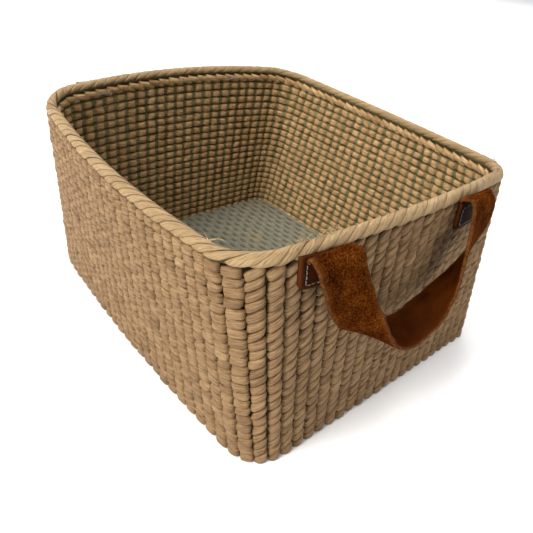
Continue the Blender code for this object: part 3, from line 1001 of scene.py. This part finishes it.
def thread_run(runs, off, spacing, length, thickness):
    """Short stitches along straight runs, raised in the direction off the surface."""
    points = []
    faces = []
    for start, finish in runs:
        run = finish - start
        distance = np.linalg.norm(run)
        along = run / distance
        beside = np.cross(along, off)
        for number in range(int(distance / spacing)):
            middle = start + along * spacing * (number + 0.5)
            first = len(points)
            for share in np.linspace(-1, 1, THREAD_STEPS + 1):
                height = thickness * (1 - share ** 4) * 0.6
                size = thickness / 2 * (1 - 0.35 * share ** 2)
                centre = middle + along * share * length / 2 + off * (height - thickness * 0.15)
                for angle in np.arange(THREAD_SIDES) * 2 * math.pi / THREAD_SIDES:
                    points.append(centre + size * (beside * math.cos(angle) + off * math.sin(angle)))
            last = len(points) - THREAD_SIDES
            faces += (grid_faces(THREAD_STEPS + 1, THREAD_SIDES, False, True) + first).tolist()
            faces.append([first + corner for corner in reversed(range(THREAD_SIDES))])
            faces.append([last + corner for corner in range(THREAD_SIDES)])
    return np.array(points), faces


def box_stitch(word, name, side, fold, end, material):
    """Rectangle of separate stitches on a patch."""
    wide = BOX_HALF_SHARE * np.array((-1, 1, 1, -1))
    down = np.repeat((BOX_TOP_SHARE, BOX_BOTTOM_SHARE), 2)
    corners = patch_points(side, fold, end, wide, down, PATCH_FACE - THREAD_SINK)
    runs = zip(corners, np.roll(corners, -1, axis=0))
    off = np.array((float(side), 0.0, 0.0))
    points, faces = thread_run(runs, off, BOX_STITCH_SPACING, BOX_STITCH_LENGTH, BOX_THREAD)
    item = make_mesh(f"{word}_stitching_{name}", points, faces, material)
    fix_outward(item)
    return item


def inside_knot(word, name, side, fold, end, material):
    """Thread ends that show inside the wall behind a patch, with loose tails."""
    box = [Vector(corner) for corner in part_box(f"{word}_inside_knot_{name}")]
    centre = np.array((box[0] + box[1]) / 2)
    x = centre[0] + side * 0.0002
    y = fold[1] + end * HANDLE_SPREAD
    z = centre[2]
    start = np.array((x, y - KNOT_REACH, z))
    finish = np.array((x, y + KNOT_REACH, z + KNOT_RISE))
    drop = np.array((x, y + KNOT_TAIL_Y, z - KNOT_TAIL))
    off = np.array((-float(side), 0.0, 0.0))
    runs = ((start, finish), (finish, drop))
    points, faces = thread_run(runs, off, KNOT_SPACING, KNOT_LENGTH, KNOT_THREAD)
    item = make_mesh(f"{word}_thread_end_{name}", points, faces, material)
    fix_outward(item)
    return item


# --- Building ---
def attach(piece, body, slot, *nodes):
    """Ride a body and stand for some frame nodes; the material slot is not used."""
    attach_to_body(piece, body)
    if nodes:
        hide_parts(*nodes)


def build_wall():
    """Courses of grass with their stitches, the rim and the floor."""
    grass = grass_material()
    outer = outer_stitch_material()
    inner = inner_bead_material()
    for index in range(COURSES):
        node = f"wall_course_{index + 1:02d}"
        attach(course_core(index, grass), "basket", "stitched_grass", node)
        attach(course_stitches(index, False, outer), "basket", "stitched_grass", node)
        attach(course_stitches(index, True, inner), "basket", "stitched_grass", node)
    rim = rim_leaf_material()
    attach(rim_core(grass), "basket", "wrapped_palm_leaf", "rim_bundle")
    attach(rim_wrapping(rim), "basket", "wrapped_palm_leaf", "rim_bundle")
    attach(inside_rim_row(inner), "basket", "wrapped_palm_leaf", "rim_bundle")
    attach(frayed_ends(rim), "basket", "wrapped_palm_leaf", "rim_bundle")
    attach(floor_mat(floor_mat_material()), "basket", "floor_mat_grass", "floor_mat")


def build_handle(word, side, joint):
    """One strap handle: patches, stitching, folds and the hanging loop."""
    fold = np.array(joint["pos_m"], float)
    body = joint["child"]
    outside = suede_material()
    inside = grain_material("strap_grain", (0.020, 0.0038, 0.0004), (0.052, 0.0120, 0.0012))
    leather = grain_material("patch_grain", (0.026, 0.0066, 0.0018), (0.052, 0.0150, 0.0042))
    thread = thread_material()
    materials = (outside, inside, edge_material())
    loop = hanging_loop(word, side, fold, materials)
    attach(loop, body, "suede_strap", f"{word}_strap_loop")
    for end, name in ((-1, "front"), (1, "back")):
        strip = fold_strip(word, name, side, fold, end, materials)
        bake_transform(strip)
        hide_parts(f"{word}_strap_loop")
        patch = end_patch(word, name, side, fold, end, leather)
        attach(patch, "basket", "grain_leather", f"{word}_patch_{name}")
        box = box_stitch(word, name, side, fold, end, thread)
        attach(box, "basket", "sewing_thread", f"{word}_box_stitch_{name}")
        knot = inside_knot(word, name, side, fold, end, thread)
        attach(knot, "basket", "sewing_thread", f"{word}_inside_knot_{name}")


def add_area_light(name, place, target, power, size, colour):
    """Round soft light that faces a target."""
    light = bpy.data.lights.new(name, "AREA")
    light.energy = power
    light.shape = "DISK"
    light.size = size
    light.color = colour
    item = bpy.data.objects.new(name, light)
    item.location = place
    item.rotation_euler = (Vector(target) - Vector(place)).to_track_quat("-Z", "Y").to_euler()
    bpy.context.collection.objects.link(item)


def build_stage():
    """Pale floor, soft studio light and pale surroundings."""
    paper = Nodes("studio_floor", 0.9)
    paper.shader.inputs["Base Color"].default_value = (0.93, 0.93, 0.93, 1.0)
    paper.shader.inputs["Specular IOR Level"].default_value = 0.0
    turns = ((-1, -1), (1, -1), (1, 1), (-1, 1))
    half = STUDIO_FLOOR_HALF
    corners = np.array([(half * x, half * y, -STUDIO_FLOOR_DROP) for x, y in turns])
    floor = make_mesh("studio_floor", corners, [[0, 1, 2, 3]], paper.material, smooth=False)
    add_area_light("key", (-0.06, -1.30, 1.20), (0, 0, 0.06), 36.0, 0.8, (1.0, 0.975, 0.94))
    add_area_light("fill", (1.4, -0.4, 0.8), (0, 0, 0.05), 1.0, 1.1, (0.97, 0.98, 1.0))
    add_area_light("top", (0.0, 0.2, 1.6), (0, 0, 0.0), 14.0, 0.9, (1.0, 1.0, 1.0))
    add_area_light("far_floor", (-1.6, 2.2, 1.8), (-1.3, 2.0, 0), 45.0, 1.6, (1.0, 1.0, 1.0))
    world = bpy.data.worlds.new("studio")
    world.use_nodes = True
    background = world.node_tree.nodes["Background"]
    background.inputs["Color"].default_value = (*WHITE, 1.0)
    background.inputs["Strength"].default_value = SURROUNDINGS
    bpy.context.scene.world = world
    bpy.context.scene.view_settings.view_transform = "Standard"


def add_camera():
    """Camera at the photograph's viewing angle."""
    back = Vector((
        math.sin(CAMERA_AZIMUTH) * math.cos(CAMERA_ELEVATION),
        -math.cos(CAMERA_AZIMUTH) * math.cos(CAMERA_ELEVATION),
        math.sin(CAMERA_ELEVATION),
    ))
    data = bpy.data.cameras.new("camera")
    data.lens = CAMERA_LENS
    data.sensor_width = SENSOR_WIDTH
    data.clip_start = 0.01
    camera = bpy.data.objects.new("camera", data)
    turn = (-back).to_track_quat("-Z", "Y").to_matrix()
    camera.rotation_euler = (turn @ Matrix.Rotation(CAMERA_ROLL, 3, "Z")).to_euler()
    camera.location = CAMERA_TARGET + back * CAMERA_DISTANCE
    bpy.context.collection.objects.link(camera)
    bpy.context.scene.camera = camera


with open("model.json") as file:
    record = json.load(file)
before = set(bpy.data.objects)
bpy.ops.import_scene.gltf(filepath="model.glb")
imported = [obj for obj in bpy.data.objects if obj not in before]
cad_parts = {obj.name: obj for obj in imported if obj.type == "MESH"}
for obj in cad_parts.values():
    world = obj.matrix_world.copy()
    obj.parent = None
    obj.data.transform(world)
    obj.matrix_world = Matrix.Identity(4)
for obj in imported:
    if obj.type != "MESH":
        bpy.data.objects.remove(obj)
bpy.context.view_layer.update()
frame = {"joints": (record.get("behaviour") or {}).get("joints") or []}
joints = {joint["name"]: joint for joint in frame["joints"]}
add_camera()
build_stage()
build_wall()
build_handle("east", 1, joints["east_handle_swing"])
build_handle("west", -1, joints["west_handle_swing"])
